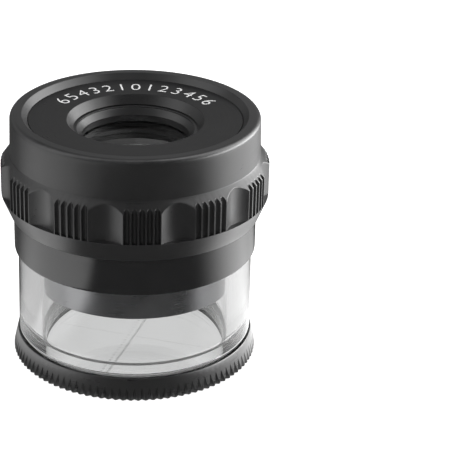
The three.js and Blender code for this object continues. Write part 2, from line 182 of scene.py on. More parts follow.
def repeat_round(piece, count, finish):
    """Geometry Nodes: the piece, one share of a turn, is set round the axis and joined to a ring."""
    join_distance = 2e-6
    tree = bpy.data.node_groups.new("shares_round_the_axis", "GeometryNodeTree")
    face = tree.interface
    face.new_socket("Share", in_out="INPUT", socket_type="NodeSocketGeometry")
    count_input = face.new_socket("Shares", in_out="INPUT", socket_type="NodeSocketInt")
    join_input = face.new_socket("Join distance", in_out="INPUT", socket_type="NodeSocketFloat")
    finish_input = face.new_socket("Finish", in_out="INPUT", socket_type="NodeSocketMaterial")
    face.new_socket("Ring", in_out="OUTPUT", socket_type="NodeSocketGeometry")
    given = node(tree, "NodeGroupInput").outputs
    middles = node(tree, "GeometryNodeMeshLine", {"Count": given["Shares"], "Offset": (0, 0, 0)})
    step = maths(tree, "DIVIDE", 2 * math.pi, given["Shares"])
    turn = maths(tree, "MULTIPLY", node(tree, "GeometryNodeInputIndex").outputs[0], step)
    euler = node(tree, "ShaderNodeCombineXYZ", {"Z": turn})
    rotation = node(tree, "FunctionNodeEulerToRotation", {0: euler.outputs[0]})
    placed = node(tree, "GeometryNodeInstanceOnPoints",
                  {"Points": middles.outputs[0], "Instance": given["Share"], "Rotation": rotation.outputs[0]})
    real = node(tree, "GeometryNodeRealizeInstances", {0: placed.outputs[0]})
    joined = node(tree, "GeometryNodeMergeByDistance",
                  {"Geometry": real.outputs[0], "Distance": given["Join distance"]})
    coated = node(tree, "GeometryNodeSetMaterial",
                  {"Geometry": joined.outputs[0], "Material": given["Finish"]})
    node(tree, "NodeGroupOutput", {"Ring": coated.outputs[0]})
    ring = piece.modifiers.new("shares", "NODES")
    ring.node_group = tree
    ring[count_input.identifier] = count
    ring[join_input.identifier] = join_distance
    ring[finish_input.identifier] = finish
    settle(piece)


def cut_thread(piece, face, depth, pitch, starts, low, high, inwards=True):
    """Cuts a right-handed screw thread into the wall at the given radius, between two heights."""
    wall_reach = 0.02
    flank_slope = 3.4
    groove_fullness = 1.35
    run_out_turns = 0.35
    count = len(piece.data.vertices)
    places = np.empty(count * 3, np.float32)
    piece.data.vertices.foreach_get("co", places)
    places = places.reshape(-1, 3).astype(float) * 1000
    radius = np.hypot(places[:, 0], places[:, 1])
    on_wall = (abs(radius - face) < wall_reach) & (places[:, 2] > low) & (places[:, 2] < high)
    turn = np.arctan2(places[:, 1], places[:, 0]) / (2 * math.pi)
    phase = (places[:, 2] / pitch - turn * starts) % 1
    flank = np.clip(groove_fullness - abs(phase - 0.5) * flank_slope, 0, 1)
    ends = np.clip(np.minimum(places[:, 2] - low, high - places[:, 2]) / (run_out_turns * pitch), 0, 1)
    moved = radius + (-depth if inwards else depth) * flank * ends * on_wall
    places[:, :2] *= (moved / np.maximum(radius, 1e-9))[:, None]
    piece.data.vertices.foreach_set("co", (places / 1000).astype(np.float32).ravel())
    piece.data.update()


def black_anodised(name, shade, roughness, gloss, marks, worn=0.5, metallic=0.0, pale=0.06, ior=1.5):
    """Dyed anodised aluminium: fine turning marks, a cloudy dye and edges rubbed a little paler.
    On the focus ring's pad tops the paler rubbing is partly a painted highlight.
    """
    blue = 1.03
    unevenness = 0.035
    made, tree, place = new_finish(name)
    split = node(tree, "ShaderNodeSeparateXYZ", {0: place})
    flat = node(tree, "ShaderNodeCombineXYZ", {"X": split.outputs[0], "Y": split.outputs[1]})
    radius = node(tree, "ShaderNodeVectorMath", {0: flat.outputs[0]}, operation="LENGTH")
    lathe = node(tree, "ShaderNodeCombineXYZ", {"X": radius.outputs["Value"], "Z": split.outputs[2]})
    drift = node(tree, "ShaderNodeVectorMath", {0: place, 1: (0.012, 0.012, 0)}, operation="MULTIPLY")
    along = node(tree, "ShaderNodeVectorMath", {0: lathe.outputs[0], 1: drift.outputs[0]}, operation="ADD")
    turning = noise(tree, along.outputs[0], 7000, 3)
    cloud = noise(tree, place, 190, 4)
    grain = noise(tree, place, 5200, 2)
    patchy = noise(tree, place, 420, 5, Roughness=0.7)
    wear = node(tree, "ShaderNodeAttribute", attribute_name="wear").outputs["Fac"]
    # Paler where worn; on the focus ring's pad tops this is partly a painted highlight.
    rubbed = spread(tree, maths(tree, "MULTIPLY", wear, patchy), 0, worn, 0.3, 0.75)
    dye = spread(tree, cloud, 0.88, 1.12, 0.3, 0.7)
    base = node(tree, "ShaderNodeVectorMath",
                {0: (shade, shade, shade * blue), "Scale": dye}, operation="SCALE")
    colour = node(tree, "ShaderNodeMix",
                  {"Factor": rubbed, 6: base.outputs[0], 7: (pale, pale, pale * blue, 1)}, data_type="RGBA")
    lines = spread(tree, turning, roughness - unevenness, roughness + unevenness, 0.25, 0.75)
    rough = maths(tree, "MULTIPLY", lines, dye)
    height = node(tree, "ShaderNodeMix", {"Factor": 0.35, 2: turning, 3: grain})
    bump = relief(tree, marks, 4e-6, height.outputs[0])
    coat(tree, node(tree, "ShaderNodeBsdfPrincipled",
                    {"Base Color": colour.outputs[2], "Roughness": rough, "Normal": bump,
                     "IOR": ior, "Specular IOR Level": gloss, "Metallic": metallic}))
    return made


base_black = black_anodised("base_ring_black", shade=0.012, roughness=0.3, gloss=1.0, marks=0.5, ior=1.75)
groove_count = 104
groove_depth = 0.5
groove_half = 1.38
edge_radius = 22.6
cone_drop = 0.8
band_top = 0.45
ring_top = 4.05
bore_radius = 20.95
lip_radius = 17.15
lip_top = 0.4
foot_pitch = 0.75
share_end = 180 / groove_count
share_angles = np.array((-share_end, -1.5, -1.33, -0.7, -0.14, 0.14, 0.7, 1.33, 1.5, share_end))
groove_floor = edge_radius - groove_depth * np.clip(1 - abs(share_angles) / groove_half, 0, 0.93)


def base_row(radius, height, wear=0.0):
    """One row round the share, the same at every angle unless the values are given per angle."""
    return np.stack(np.broadcast_arrays(radius, height, wear, share_angles)[:3], axis=-1)


cone_start = band_top + (edge_radius - groove_floor) / cone_drop * (ring_top - band_top)
crest = np.clip((groove_floor - edge_radius + 0.06) / 0.06, 0, 1)
inner_corners = [(21.1, ring_top, 0.05), *ladder(bore_radius, 3.9, 0.62, 0.094), (bore_radius, lip_top, 0.08)]
inner_corners += [(lip_radius, lip_top, 0.08), (lip_radius, 0, 0.08)]
inner_outline = rounded([(21.6, ring_top, 0), *inner_corners, (22.0, 0, 0)], closed=False)
rows = [base_row(groove_floor - 0.16, 0), base_row(groove_floor - 0.04, 0.04, 0.8 * crest)]
rows += [base_row(groove_floor, height, wear * crest) for height, wear in ((0.1, 0.9), (0.2, 0.1))]
rows += [base_row(groove_floor, 0.2 + (cone_start - 0.2) * share, 0.1 * crest) for share in (0.5, 0.92)]
rows.append(base_row(groove_floor, cone_start, 0.8))
for share in (0.06, 0.35, 0.7):
    height = cone_start + (ring_top - 0.16 - cone_start) * share
    rows.append(base_row(edge_radius - (height - band_top) / (ring_top - band_top) * cone_drop, height))
rows += [base_row(21.83, 3.9, 0.3), base_row(21.8, 3.98, 1)]
rows += [base_row(21.74, 4.035, 1), base_row(21.67, 4.05, 0.3)]
rows += [base_row(*point) for point in inner_outline[1:-1]]
knurled_ring = skin("knurled_base_ring", rows, share_angles, full_turn=False)
repeat_round(knurled_ring, groove_count, base_black)
cut_thread(knurled_ring, bore_radius, 0.3, foot_pitch, 1, 0.7, 3.87, inwards=False)
smooth(knurled_ring, crease=28)
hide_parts("base_ring")
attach(knurled_ring, "base_nut")


# Glass disc with the graduations
# A polished plate-glass disc. Its black lines are etched and filled on the lower face, which lies on
# the work, and it is held between the base ring's lip and the skirt.

def clear_solid(name, tint, ior, roughness, haze=0.02, frosting=0.0, paint=1.0):
    """Clear glass or plastic with the faintest smears. Worn faces are frosted or painted."""
    made, tree, place = new_finish(name)
    smear = noise(tree, place, 130, 5, Distortion=1.2)
    film = spread(tree, smear, roughness, roughness + haze, 0.45, 0.75)
    bump = relief(tree, 0.04, 1e-6, noise(tree, place, 2600, 2))
    body = node(tree, "ShaderNodeBsdfPrincipled",
                {"Base Color": (*tint, 1), "Roughness": film, "Normal": bump,
                 "IOR": ior, "Transmission Weight": 1.0})
    if frosting:
        ground_roughness = 0.6
        cut = node(tree, "ShaderNodeAttribute", attribute_name="wear").outputs["Fac"]
        rough = maths(tree, "MULTIPLY_ADD", cut, ground_roughness, film)
        clear = maths(tree, "MULTIPLY_ADD", cut, -frosting, 1.0)
        colour = node(tree, "ShaderNodeMix",
                      {"Factor": cut, 6: (*tint, 1), 7: (paint, paint, paint, 1)}, data_type="RGBA")
        tree.links.new(rough, body.inputs["Roughness"])
        tree.links.new(clear, body.inputs["Transmission Weight"])
        tree.links.new(colour.outputs[2], body.inputs["Base Color"])
    coat(tree, body)
    return made


glass_sides = np.arange(0, 360, 360 / 192)
disc_foot = 0.42
disc_top = 2.38
disc_corners = [(0, disc_foot, 0), (18.1, disc_foot, 0.15), (18.1, disc_top, 0.15), (0, disc_top, 0)]
glass_disc = skin("graduated_glass", rounded(disc_corners, closed=False), glass_sides, closed_outline=False)
glass_disc.data.materials.append(clear_solid("plate_glass", (0.985, 0.99, 0.988), 1.52, 0.0, haze=0.01))
smooth(glass_disc)
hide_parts("reticle_glass")
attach(glass_disc, "reticle_carrier")


def grey(tree, level):
    """A grey of a level that varies."""
    return node(tree, "ShaderNodeCombineColor", {0: level, 1: level, 2: level}).outputs[0]


def line_filling(name, shade, roughness):
    """Slightly grainy filling of engraved or etched lines."""
    made, tree, place = new_finish(name)
    grain = noise(tree, place, 9000, 3)
    colour = grey(tree, spread(tree, grain, shade * 0.8, shade * 1.1))
    bump = relief(tree, 0.3, 3e-6, grain)
    coat(tree, node(tree, "ShaderNodeBsdfPrincipled",
                    {"Base Color": colour, "Roughness": roughness, "Normal": bump}))
    return made


line_black = line_filling("etched_line_black", 0.012, 0.7)
line_top = 0.415
line_foot = 0.405
circle_radius = 17.0
numeral_height = 0.4
numeral_place = 1.25
scale_turn = math.atan2(-0.947, -0.32) + math.pi


def joined_piece(name, shells):
    """One mesh from several (points, faces) shells, in millimetres."""
    points, faces = [], []
    for shell_points, shell_faces in shells:
        faces += [[corner + len(points) for corner in face] for face in shell_faces]
        points += [tuple(point) for point in shell_points]
    mesh = bpy.data.meshes.new(name)
    mesh.from_pydata(np.array(points, float) / 1000, [], faces)
    shape = bmesh.new()
    shape.from_mesh(mesh)
    bmesh.ops.remove_doubles(shape, verts=shape.verts, dist=1e-8)
    bmesh.ops.recalc_face_normals(shape, faces=shape.faces)
    shape.to_mesh(mesh)
    shape.free()
    piece = bpy.data.objects.new(name, mesh)
    bpy.context.scene.collection.objects.link(piece)
    return piece


def bar_shell(left, right, front, rear, low, high):
    """The eight corners and six faces of a straight printed line."""
    points = [(x, y, z) for z in (low, high) for x, y in
              ((left, front), (right, front), (right, rear), (left, rear))]
    return points, [(3, 2, 1, 0), (4, 5, 6, 7), (0, 1, 5, 4), (1, 2, 6, 5), (2, 3, 7, 6), (3, 0, 4, 7)]


def numeral_shell(text, height, thickness):
    """A number's outline as a thin plate, centred on the origin and as tall as asked."""
    letters = bpy.data.curves.new("numeral", "FONT")
    letters.body = text
    letters.extrude = 0.5
    letters.resolution_u = 4
    letters.offset = -0.012
    holder = bpy.data.objects.new("numeral", letters)
    bpy.context.scene.collection.objects.link(holder)
    bpy.context.view_layer.update()
    mesh = bpy.data.meshes.new_from_object(holder.evaluated_get(bpy.context.evaluated_depsgraph_get()))
    points = np.array([corner.co for corner in mesh.vertices])
    faces = [tuple(face.vertices) for face in mesh.polygons]
    bpy.data.objects.remove(holder)
    bpy.data.curves.remove(letters)
    bpy.data.meshes.remove(mesh)
    low, high = points.min(axis=0), points.max(axis=0)
    points[:, :2] = (points[:, :2] - (low + high)[:2] / 2) * height / (high[1] - low[1])
    points[:, 2] *= thickness
    return points, faces


def turned_shell(shell, angle):
    """A shell turned round the axis."""
    points, faces = shell
    cos, sin = math.cos(angle), math.sin(angle)
    turned = np.array(points, float)
    turned[:, :2] = turned[:, :2] @ np.array(((cos, sin), (-sin, cos)))
    return turned, faces


ring_angles = np.radians(np.arange(0, 360, 2.5))
ring_points, ring_faces = [], []
ring_steps = len(ring_angles)
for width, height in ((0, line_foot), (0.05, line_foot), (0.05, line_top), (0, line_top)):
    radius = circle_radius + width
    ring_points += [(radius * math.cos(a), radius * math.sin(a), height) for a in ring_angles]
for side in range(4):
    for step in range(ring_steps):
        beside = (step + 1) % ring_steps
        above = (side + 1) % 4
        ring_faces.append((side * ring_steps + step, side * ring_steps + beside,
                           above * ring_steps + beside, above * ring_steps + step))
shells = [
    (ring_points, ring_faces),
    bar_shell(-15, 15, -0.02, 0, line_foot, line_top),
    bar_shell(-0.009, 0.009, -15.5, -0.3, line_foot, line_top),
    bar_shell(-0.009, 0.009, 2.2, 15.5, line_foot, line_top),
]
for number in range(-15, 16):
    points, faces = numeral_shell(str(abs(number)), numeral_height, line_top - line_foot)
    shells.append((points + np.array((number, numeral_place, (line_foot + line_top) / 2)), faces))
cross_lines = joined_piece("etched_lines", [turned_shell(shell, scale_turn) for shell in shells])
cross_lines.data.materials.append(line_black)
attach(cross_lines, "reticle_carrier")


def scale_ticks(name, tick_count, spacing, finish):
    """Geometry Nodes: tenth-millimetre ticks on a line, longer at each half and each whole millimetre."""
    tree = bpy.data.node_groups.new("scale_ticks", "GeometryNodeTree")
    face = tree.interface
    face.new_socket("Tick", in_out="INPUT", socket_type="NodeSocketGeometry")
    count_input = face.new_socket("Ticks", in_out="INPUT", socket_type="NodeSocketInt")
    space_input = face.new_socket("Spacing", in_out="INPUT", socket_type="NodeSocketFloat")
    finish_input = face.new_socket("Finish", in_out="INPUT", socket_type="NodeSocketMaterial")
    face.new_socket("Scale", in_out="OUTPUT", socket_type="NodeSocketGeometry")
    given = node(tree, "NodeGroupInput").outputs
    length = maths(tree, "MULTIPLY", maths(tree, "SUBTRACT", given["Ticks"], 1), given["Spacing"])
    start = node(tree, "ShaderNodeCombineXYZ", {"X": maths(tree, "MULTIPLY", length, -0.5)})
    step = node(tree, "ShaderNodeCombineXYZ", {"X": given["Spacing"]})
    line = node(tree, "GeometryNodeMeshLine",
                {"Count": given["Ticks"], "Start Location": start.outputs[0], "Offset": step.outputs[0]})
    number = node(tree, "GeometryNodeInputIndex").outputs[0]
    stretch = 1.0
    for every in (5, 10):
        marked = maths(tree, "LESS_THAN", maths(tree, "MODULO", number, every), 0.5)
        stretch = maths(tree, "MULTIPLY_ADD", marked, 0.5, stretch)
    size = node(tree, "ShaderNodeCombineXYZ", {"X": 1, "Y": stretch, "Z": 1})
    placed = node(tree, "GeometryNodeInstanceOnPoints",
                  {"Points": line.outputs[0], "Instance": given["Tick"], "Scale": size.outputs[0]})
    real = node(tree, "GeometryNodeRealizeInstances", {0: placed.outputs[0]})
    coated = node(tree, "GeometryNodeSetMaterial", {"Geometry": real.outputs[0], "Material": given["Finish"]})
    node(tree, "NodeGroupOutput", {"Scale": coated.outputs[0]})
    ticks = joined_piece(name, [bar_shell(-0.006, 0.006, 0.0, 0.36, line_foot, line_top)])
    rule = ticks.modifiers.new("ticks", "NODES")
    rule.node_group = tree
    rule[count_input.identifier] = tick_count
    rule[space_input.identifier] = spacing / 1000
    rule[finish_input.identifier] = finish
    settle(ticks)
    ticks.data.transform(Matrix.Rotation(scale_turn, 4, "Z"))
    return ticks


rule_ticks = scale_ticks("scale_ticks", 301, 0.1, line_black)
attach(rule_ticks, "reticle_carrier")


# Clear skirt
# A tube turned from cast acrylic and polished, which lets light in on the work. Its top is a spigot
# cemented into the barrel. The thread at its foot and the step above the glass are left matt.

skirt_thread_radius = 20.65
skirt_sides = np.arange(0, 360, 360 / 256)
skirt_corners = [
    (18.4, 0.7, 0.08), (skirt_thread_radius, 0.7, 0.1),
    *ladder(skirt_thread_radius, 0.9, 3.96, 0.09), (skirt_thread_radius, 4.65, 0.05), (21.55, 4.65, 0.12),
    (21.4, 20.78, 0.12), (20.4, 20.78, 0.1), (20.4, 26.3, 0.2), (17.45, 26.3, 0.2),
    (17.45, 5.75, 0.02), (17.42, 5.71, 0), (16.9, 5.04, 0), (16.87, 5.0, 0.02), (16.87, 2.42, 0.04),
    (18.4, 2.42, 0.04),
]
skirt_outline = rounded(skirt_corners)
skirt_radii, skirt_heights = skirt_outline[:, 0], skirt_outline[:, 1]
on_thread = (skirt_radii > 20.4) & (skirt_heights < 4.5)
on_step = (skirt_radii < 17.44) & (abs(skirt_heights - 5.375) < 0.34)
skirt_outline[on_thread, 2] = 1
skirt_outline[on_step, 2] = 0.7
skirt = skin("clear_acrylic_skirt", skirt_outline, skirt_sides)
cut_thread(skirt, skirt_thread_radius, 0.36, foot_pitch, 1, 0.85, 4.0)
acrylic = clear_solid("clear_acrylic", (0.985, 0.988, 0.988), 1.49, 0.008, frosting=0.85)
skirt.data.materials.append(acrylic)
smooth(skirt)
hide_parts("clear_skirt")
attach(skirt, "barrel_body")


# Barrel
# The body, turned in aluminium and anodised a smooth satin black. The skirt's spigot goes up into
# its socket. Its neck carries the four-start focusing thread and a groove for the drag ring.

metal_sides = np.arange(0, 360, 360 / 240)


def cut_away(piece, cutters):
    """Cuts other shapes out of a piece."""
    for cutter in cutters:
        cut = piece.modifiers.new("cut", "BOOLEAN")
        cut.operation = "DIFFERENCE"
        cut.solver = "EXACT"
        cut.object = cutter
    settle(piece)
    piece.data.materials.clear()
    for cutter in cutters:
        bpy.data.objects.remove(cutter)


def rod_across(name, radius, start, stop, height, side, bevel=0.0):
    """A round rod lying along the X axis, from one distance to another on the given side."""
    corners = [(0, start, 0), (radius, start, bevel), (radius, stop, bevel), (0, stop, 0)]
    rod = skin(name, rounded(corners, closed=False), np.arange(0, 360, 9), closed_outline=False)
    for corner in rod.data.vertices:
        x, y, z = corner.co
        corner.co = (side * z, y, height / 1000 - x)
    shape = bmesh.new()
    shape.from_mesh(rod.data)
    bmesh.ops.recalc_face_normals(shape, faces=shape.faces)
    shape.to_mesh(rod.data)
    shape.free()
    return rod


neck_radius = 21.0
focus_pitch = 1.5
focus_starts = 4
barrel_corners = [
    (20.7, 20.8, 0.15), (22.1, 20.8, 0.3), (22.1, 31.0, 0.3), (neck_radius, 31.0, 0.1),
    *ladder(neck_radius, 31.3, 34.8, 0.17), (neck_radius, 35.4, 0.08), (20.2, 35.4, 0.08),
    (20.2, 36.4, 0.08), (neck_radius, 36.4, 0.08), (neck_radius, 37.5, 0.25), (17.2, 37.5, 0.2),
    (17.2, 26.6, 0.15), (20.7, 26.6, 0.15),
]
barrel = skin("barrel_body_tube", rounded(barrel_corners), metal_sides)
cut_thread(barrel, neck_radius, 0.35, focus_pitch, focus_starts, 31.2, 34.9)
pin_height = 33.3
cut_away(barrel, [rod_across("pin_drill", 0.82, 15, 23, pin_height, side) for side in (-1, 1)])
barrel_black = black_anodised("barrel_black", shade=0.012, roughness=0.17, gloss=1.0, marks=0.16)
barrel.data.materials.append(barrel_black)
smooth(barrel)
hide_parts("barrel")
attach(barrel, "barrel_body")


# Drag ring
# A greased nitrile O-ring in the barrel's neck groove. It presses on the focus ring and keeps the
# focus where it is set.

def soft_rubber(name, shade):
    """Moulded nitrile rubber with a fine matt surface."""
    made, tree, place = new_finish(name)
    speck = noise(tree, place, 3800, 4)
    grease = noise(tree, place, 240, 3)
    colour = grey(tree, spread(tree, speck, shade * 0.7, shade * 1.4))
    rough = spread(tree, grease, 0.35, 0.85)
    bump = relief(tree, 0.4, 1e-5, speck)
    coat(tree, node(tree, "ShaderNodeBsdfPrincipled",
                    {"Base Color": colour, "Roughness": rough, "Normal": bump}))
    return made


section_angles = np.radians(np.arange(0, 360, 15))
drag_radius = 20.75
drag_height = 35.9
drag_half = 0.45
drag_outline = [(drag_radius + drag_half * math.cos(a), drag_height + drag_half * math.sin(a), 0)
                for a in section_angles]
drag_ring = skin("drag_o_ring", drag_outline, np.arange(0, 360, 2.5))
drag_ring.data.materials.append(soft_rubber("black_rubber", 0.02))
smooth(drag_ring)
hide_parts("drag_ring")
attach(drag_ring, "barrel_body")


# Guide pins
# Two ground steel pins pressed into the barrel's neck. They run in the lens cell's key slots, so the
# cell slides and doesn't turn.

def ground_steel(name):
    """Centreless-ground steel, with fine marks round the pin."""
    made, tree, place = new_finish(name)
    drawn = node(tree, "ShaderNodeVectorMath", {0: place, 1: (9000, 600, 600)}, operation="MULTIPLY")
    marks = noise(tree, drawn.outputs[0], 1, 3)
    colour = grey(tree, spread(tree, marks, 0.38, 0.52))
    rough = spread(tree, marks, 0.2, 0.4)
    bump = relief(tree, 0.2, 2e-6, marks)
    coat(tree, node(tree, "ShaderNodeBsdfPrincipled",
                    {"Base Color": colour, "Metallic": 1.0, "Roughness": rough, "Normal": bump}))
    return made


pin_steel = ground_steel("pin_steel")
for side, pin_name in ((-1, "guide_pin_left"), (1, "guide_pin_right")):
    pin = rod_across("steel_" + pin_name, 0.79, 16.4, 20.6, pin_height, side, bevel=0.15)
    pin.data.materials.append(pin_steel)
    smooth(pin)
    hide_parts(pin_name)
    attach(pin, "barrel_body")


# Lens cell
# The tube that holds all the lenses, turned in aluminium and anodised with a dark satin sheen. Its
# flange rests on the focus ring's shelf, and two key slots in its wall run on the guide pins.

def stadium_cutter(name, reach, width, half_length, middle, side):
    """A round-ended slot cutter on the X side, as wide and long as asked."""
    round_end = np.radians(np.arange(0, 181, 12))
    half_width = width / 2
    centre = middle + half_length - half_width
    outline = [(half_width * math.cos(a), centre + half_width * math.sin(a)) for a in round_end]
    outline += [(-y, 2 * middle - z) for y, z in outline]
    count = len(outline)
    points = [(side * x, y, z) for x in reach for y, z in outline]
    faces = [tuple(range(count)), tuple(range(2 * count - 1, count - 1, -1))]
    faces += [(i, (i + 1) % count, count + (i + 1) % count, count + i) for i in range(count)]
    return joined_piece(name, [(points, faces)])


cell_corners = [
    (16.9, 14.2, 0.25), (16.9, 41.5, 0.1), (18.4, 41.5, 0.15), (18.4, 42.4, 0.15), (11.9, 42.4, 0.08),
    (11.9, 32.72, 0.1), (11.0, 32.72, 0.12), (11.0, 29.52, 0.12), (15.4, 29.52, 0.1), (15.4, 14.2, 0.25),
]
lens_cell = skin("lens_cell_tube", rounded(cell_corners), metal_sides)
slot_cutters = [stadium_cutter("key_slot", (16.1, 18), 1.8, 3.6, pin_height, side) for side in (-1, 1)]
cut_away(lens_cell, slot_cutters)
cell_black = black_anodised("lens_cell_matt_black", shade=0.014, roughness=0.4, gloss=0.4, marks=0.5,
                            worn=0.3)
cell_satin = black_anodised("lens_cell_satin_black", shade=0.28, roughness=0.3, gloss=0.5, marks=0.4,
                            worn=0.3, metallic=1.0, pale=0.4)
lens_cell.data.materials.append(cell_satin)
smooth(lens_cell)
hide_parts("lens_cell")
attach(lens_cell, "lens_carriage")


# Lower lens pair, its retaining ring and the spacer
# A crown and a flint ground to fit and cemented. A threaded ring with two spanner notches holds them
# from below, against a blackened cone that keeps stray light off the cell's wall.

def dome(curve, lens_radius, edge_height, bulge):
    """A polished face from its edge to the axis, bulging upwards (1) or downwards (-1)."""
    rim = math.sqrt(curve ** 2 - lens_radius ** 2)
    face = []
    for share in (0, 0.01, *np.linspace(0, 1, 21)[1:]):
        radius = lens_radius * (1 - share)
        height = edge_height + bulge * (math.sqrt(curve ** 2 - radius ** 2) - rim)
        face.append((radius, height, 1 if share == 0 else 0))
    return face


def ground_lens(name, lower_face, upper_face):
    """A lens from its two faces. Each runs from the edge to the axis."""
    outline = lower_face[::-1] + upper_face
    return skin(name, outline, glass_sides, closed_outline=False)


def finish_lens(lens, glass, cad_name):
    """Finish, body and slot of a lens."""
    lens.data.materials.append(glass)
    smooth(lens)
    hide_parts(cad_name)
    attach(lens, "lens_carriage")


crown_glass = clear_solid("coated_crown_glass", (0.9, 0.915, 0.92), 1.517, 0.0, haze=0.006,
                          frosting=1.0, paint=0.01)
flint_glass = clear_solid("coated_flint_glass", (0.9, 0.912, 0.91), 1.7, 0.0, haze=0.006,
                          frosting=1.0, paint=0.01)
field_radius = 15.3
field_flint = ground_lens("field_flint", dome(195, field_radius, 16.476, -1),
                          dome(30, field_radius, 21.976, -1))
finish_lens(field_flint, flint_glass, "field_flint_lens")
field_crown = ground_lens("field_crown", dome(30, field_radius, 22.0, -1),
                          dome(45, field_radius, 23.176, 1))
finish_lens(field_crown, crown_glass, "field_crown_lens")


def spanner_notches(inner, outer, low, high, width):
    """Cutters for the two notches that a pin spanner turns a lens ring by."""
    return [joined_piece("notch", [bar_shell(left, right, -width / 2, width / 2, low, high)])
            for left, right in ((-outer, -inner), (inner, outer))]


rear_ring = skin("rear_lens_ring", rounded(
    [(14.3, 14.5, 0.15), (field_radius, 14.5, 0.12), (field_radius, 16.4, 0.1), (14.3, 16.4, 0.1)]),
    metal_sides)
cut_away(rear_ring, spanner_notches(14.0, 15.0, 14.3, 15.3, 1.6))
rear_ring.data.materials.append(cell_black)
smooth(rear_ring)
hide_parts("rear_retaining_ring")
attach(rear_ring, "lens_carriage")

baffle_count = 9
spacer_foot = 23.64
spacer_top = 29.5
wide_radius = 14.0
narrow_radius = 11.0
baffle_depth = (wide_radius - narrow_radius) / baffle_count
baffle_rise = (spacer_top - spacer_foot) / baffle_count
baffles = []
for step in range(baffle_count):
    radius = wide_radius - step * baffle_depth
    height = spacer_foot + (step + 1) * baffle_rise
    baffles += [(radius, height - 0.12, 0), (radius - baffle_depth, height, 0)]
spacer = skin("lens_spacer_cone", rounded(
    [(field_radius, spacer_foot, 0.05), (field_radius, spacer_top, 0.1), *baffles[::-1],
     (wide_radius, spacer_foot, 0.05)]), metal_sides)
spacer.data.materials.append(cell_black)
smooth(spacer, crease=20)
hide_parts("lens_spacer")
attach(spacer, "lens_carriage")


# Upper lens pair and its retaining ring
# The eye lens is cemented from a thin crown and a thick flint. The ring that holds it is seen in the
# eye opening: a stepped and bevelled ring with two spanner notches.

eye_radius = 11.8
eye_crown = ground_lens("eye_crown", dome(34, eye_radius, 33.01, -1), dome(22, eye_radius, 33.91, 1))
finish_lens(eye_crown, crown_glass, "eye_crown_lens")
eye_flint = ground_lens("eye_flint", dome(22, eye_radius, 33.93, 1), dome(400, eye_radius, 40.56, 1))
finish_lens(eye_flint, flint_glass, "eye_flint_lens")

front_ring = skin("front_lens_ring", rounded([
    (9.75, 40.8, 0.06), (eye_radius, 40.76, 0.1), (eye_radius, 42.4, 0.06), (11.2, 42.4, 0.04),
    (11.2, 43.38, 0.05), (10.55, 43.38, 0.06), (10.55, 43.15, 0.04), (10.45, 43.05, 0.04),
    (9.75, 42.0, 0.08)]), metal_sides)
cut_away(front_ring, spanner_notches(11.1, 12.2, 41.6, 43, 1.6))
ring_black = black_anodised("front_ring_black", shade=0.018, roughness=0.34, gloss=0.9, marks=0.5)
front_ring.data.materials.append(ring_black)
smooth(front_ring)
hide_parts("front_retaining_ring")
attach(front_ring, "lens_carriage")


# Focus ring
# Grip, cap wall and rim in one turned piece. Twelve pads, each with five round-bottomed grooves, and
# the scallops between them are milled down to one ledge. They run out on the cone above.

cap_black = black_anodised("cap_black", shade=0.016, roughness=0.33, gloss=1.0, marks=0.3)
pad_count = 12
pad_half = 7.8
share_half = 15.0
groove_pitch = 3.12
groove_reach = 0.39 * groove_pitch
pad_groove_depth = 0.7
scallop_depth = 1.1
grip_radius = 24.25
ledge = 31.6
grip_top = 37.3
cone_top = 39.2
cone_top_radius = 22.6
cap_top = 46.4
cap_bore_radius = 21.3
front_pad_turn = math.radians(-90 + 2.8)

pad_angles = [-pad_half + 0.04]
for number in range(-2, 3):
    middle = number * groove_pitch
    pad_angles += [middle + groove_reach * 1.05 * math.sin(math.radians(a)) for a in range(-90, 91, 15)]
pad_angles.append(pad_half - 0.04)
scallop_angles = np.linspace(pad_half, share_half, 9)
grip_angles = np.array([*-scallop_angles[::-1], *pad_angles, *scallop_angles])


def grip_depth(angle):
    """How deep the grip is cut at an angle from the middle of its pad."""
    if abs(angle) >= pad_half:
        return scallop_depth * (1 - ((abs(angle) - share_half) / (share_half - pad_half)) ** 2)
    beside = abs(angle - round(angle / groove_pitch) * groove_pitch) / groove_reach
    if abs(angle) > 2 * groove_pitch + groove_reach or beside >= 1:
        return 0.0
    return pad_groove_depth * math.sqrt(1 - beside ** 2)


cut_depth = np.array([grip_depth(angle) for angle in grip_angles])
cut_radius = grip_radius - cut_depth
cut_share = np.clip(cut_depth / 0.2, 0, 1)


def grip_row(radius, height, wear=0.0):
    """One row round a pad's share of the grip."""
    return np.stack(np.broadcast_arrays(radius, height, wear, grip_angles)[:3], axis=-1)


cone_slope = (grip_radius - cone_top_radius) / (cone_top - grip_top)
run_out = grip_top + cut_depth / cone_slope
rows = [grip_row(22.4, 27.75), grip_row(22.58, 27.78, 0.5)]
rows += [grip_row(22.69, 27.87, 0.9), grip_row(22.75, 28.0, 0.1)]
rows += [grip_row(22.65 + 1.6 * share, 27.75 + 3.85 * share) for share in (0.35, 0.7, 0.93)]
rows += [grip_row(grip_radius - 0.04, ledge - 0.1, 0.4), grip_row(grip_radius - 0.01, ledge - 0.03, 1)]
rows.append(grip_row(grip_radius - 0.02 * cut_share, ledge - 0.002 + 0.002 * cut_share, 1))
rows.append(grip_row(np.minimum(grip_radius - 0.001, cut_radius + 0.12), ledge + 0.004 * (1 - cut_share)))
rows.append(grip_row(cut_radius + 0.03 * cut_share, ledge + 0.03))
rows.append(grip_row(cut_radius, ledge + 0.14))
# The pad tops are paler than the grooves: partly rubbed wear, partly a painted highlight on the ridges.
pad_wear_and_highlight = 0.9 * (1 - cut_share)
for share, wear in ((0.33, 0.35), (0.66, 0.35), (0.96, 0.85), (1, 0.85)):
    rows.append(grip_row(cut_radius, ledge + 0.14 + (run_out - ledge - 0.24) * share, pad_wear_and_highlight * wear))
rows.append(grip_row(cut_radius - 0.005, run_out - 0.02, 0.9))
rows.append(grip_row(cut_radius - 0.04, run_out + 0.06, 0.7))
